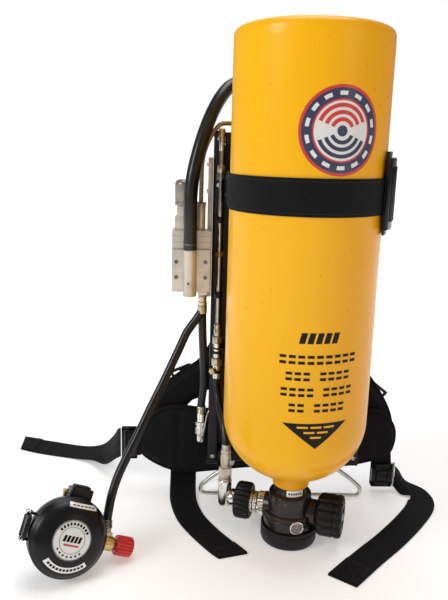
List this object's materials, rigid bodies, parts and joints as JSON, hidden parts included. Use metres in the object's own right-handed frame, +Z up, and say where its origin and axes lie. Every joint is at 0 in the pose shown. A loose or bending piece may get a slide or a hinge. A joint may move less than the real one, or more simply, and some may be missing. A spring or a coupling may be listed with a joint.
{
  "type": "self-contained breathing apparatus",
  "caption": "Upright air cylinder strapped to a back frame, with valve, pressure reducer, hoses, mask regulator on the floor and a black webbing harness.",
  "frame": {"origin": "on the floor under the cylinder's axis, at the middle of the valve bumper's foot", "axes": "+Z up along the cylinder's axis, -Y from the back frame towards the cylinder, +X to the wearer's right"},
  "size_m": [0.644, 0.3996, 0.63],
  "materials": {
    "yellow_gloss": "high-gloss yellow wound shell",
    "aluminium": "plain",
    "beige_anodised": "satin champagne anodised",
    "black_coated": "satin black coating",
    "black_plastic": "satin moulded",
    "black_rubber": "matt",
    "diaphragm_rubber": "matt",
    "black_webbing": "woven",
    "valve_grey": "dark coated brass",
    "chrome": "bright plated",
    "steel": "drawn",
    "brass": "machined",
    "copper_braid": "braided sleeve",
    "red_plastic": "satin moulded"
  },
  "bodies": {
    "apparatus": {"accessory_connector": "chrome", "accessory_hose": "black_rubber", "alarm_line": "copper_braid", "back_plate": "black_coated", "buckle_receptacle": "black_plastic", "buckle_tongue": "black_plastic", "cradle_lower": "black_plastic", "cradle_upper": "black_plastic", "cylinder_band": "black_coated", "cylinder_liner": "aluminium", "cylinder_shell": "yellow_gloss", "foot_wire": "steel", "frame_bar_bottom": "black_coated", "frame_bar_top": "black_coated", "frame_rail_left": "black_coated", "frame_rail_right": "black_coated", "gauge_case": "chrome", "gauge_hose": "black_rubber", "high_pressure_hose": "black_rubber", "hose_elbow": "chrome", "inlet_fitting": "brass", "latch_base": "black_coated", "latch_pin": "steel", "low_air_whistle": "brass", "mask_spigot": "black_plastic", "outlet_fitting": "brass", "reducer_body": "beige_anodised", "reducer_bonnet": "beige_anodised", "reducer_cover": "beige_anodised", "reducer_plate": "beige_anodised", "reducer_spring": "steel", "regulator_cover": "black_plastic", "regulator_hose": "black_rubber", "regulator_housing": "black_plastic", "release_pin": "chrome", "shoulder_gauge_case": "black_rubber", "shoulder_strap_left": "black_webbing", "shoulder_strap_right": "black_webbing", "shoulder_tail_left": "black_webbing", "supply_relief_valve": "chrome", "supply_tube": "steel", "valve_body": "valve_grey", "valve_bumper": "black_rubber", "waist_pad": "black_webbing", "waist_tail_left": "black_webbing", "waist_tail_right": "black_webbing"},
    "valve_control": {"valve_hand_wheel": "black_rubber", "valve_stem": "steel"},
    "outlet_coupling": {"coupling_nut": "chrome", "coupling_hand_wheel": "black_rubber"},
    "band_latch": {"latch_lever": "black_plastic"},
    "cylinder_gauge_needle": {"gauge_pointer": "red_plastic"},
    "shoulder_gauge_needle": {"shoulder_gauge_pointer": "red_plastic"},
    "purge_control": {"purge_knob": "red_plastic"},
    "air_saver_switch": {"air_saver_button": "black_rubber"},
    "mask_release": {"release_lever": "black_plastic"},
    "breathing_diaphragm": {"diaphragm": "diaphragm_rubber"},
    "demand_valve_lever": {"demand_lever": "steel"},
    "pressure_piston": {"reducer_piston": "brass"},
    "buckle_release": {"buckle_button": "red_plastic"}
  },
  "joints": [
    {"name": "valve_hand_wheel_turn", "type": "hinge", "parent": "apparatus", "child": "valve_control", "pos_m": [0, 0, 0.0415], "axis": [0.9511, -0.309, 0], "range_deg": [0, 720]},
    {"name": "coupling_turn", "type": "hinge", "parent": "apparatus", "child": "outlet_coupling", "pos_m": [0, 0, 0.0415], "axis": [-0.9511, 0.309, 0], "range_deg": [0, 1080]},
    {"name": "band_latch_swing", "type": "hinge", "parent": "apparatus", "child": "band_latch", "pos_m": [0.0992, 0.031, 0.4508], "axis": [0, 0, 1], "range_deg": [0, 110]},
    {"name": "cylinder_gauge_sweep", "type": "hinge", "parent": "apparatus", "child": "cylinder_gauge_needle", "pos_m": [0, 0, 0.0325], "axis": [0.1736, -0.9848, 0], "range_deg": [-270, 0]},
    {"name": "shoulder_gauge_sweep", "type": "hinge", "parent": "apparatus", "child": "shoulder_gauge_needle", "pos_m": [-0.049, 0.1885, 0.436], "axis": [0, 1, 0], "range_deg": [-270, 0]},
    {"name": "purge_knob_turn", "type": "hinge", "parent": "apparatus", "child": "purge_control", "pos_m": [-0.21909, -0.05514, 0.02075], "axis": [0.8666, 0.3161, -0.3862], "range_deg": [0, 180]},
    {"name": "air_saver_press", "type": "slide", "parent": "apparatus", "child": "air_saver_switch", "axis": [-0.2245, -0.4442, -0.8673], "range_m": [0, 0.003], "stiffness_N_per_m": 600, "springref_m": -0.002},
    {"name": "mask_release_pull", "type": "hinge", "parent": "apparatus", "child": "mask_release", "pos_m": [-0.31608, -0.08943, 0.06688], "axis": [-0.2245, -0.4442, -0.8673], "range_deg": [0, 15], "stiffness_Nm_per_rad": 0.3, "springref_deg": -5.73},
    {"name": "diaphragm_stroke", "type": "slide", "parent": "apparatus", "child": "breathing_diaphragm", "axis": [-0.4457, 0.8383, -0.314], "range_m": [0, 0.003], "stiffness_N_per_m": 80, "springref_m": -0.002},
    {"name": "demand_lever_tilt", "type": "hinge", "parent": "apparatus", "child": "demand_valve_lever", "pos_m": [-0.24215, -0.06956, 0.03411], "axis": [-0.2245, -0.4442, -0.8673], "range_deg": [0, 6.2]},
    {"name": "piston_stroke", "type": "slide", "parent": "apparatus", "child": "pressure_piston", "axis": [0, 0, 1], "range_m": [0, 0.0015], "stiffness_N_per_m": 2000, "springref_m": -0.002},
    {"name": "buckle_button_press", "type": "slide", "parent": "apparatus", "child": "buckle_release", "axis": [0, 1, 0], "range_m": [0, 0.002], "stiffness_N_per_m": 600, "springref_m": -0.002}
  ],
  "couplings": [
    {"joint": "demand_lever_tilt", "follows": "diaphragm_stroke", "rad_per_m": 35.7}
  ]
}
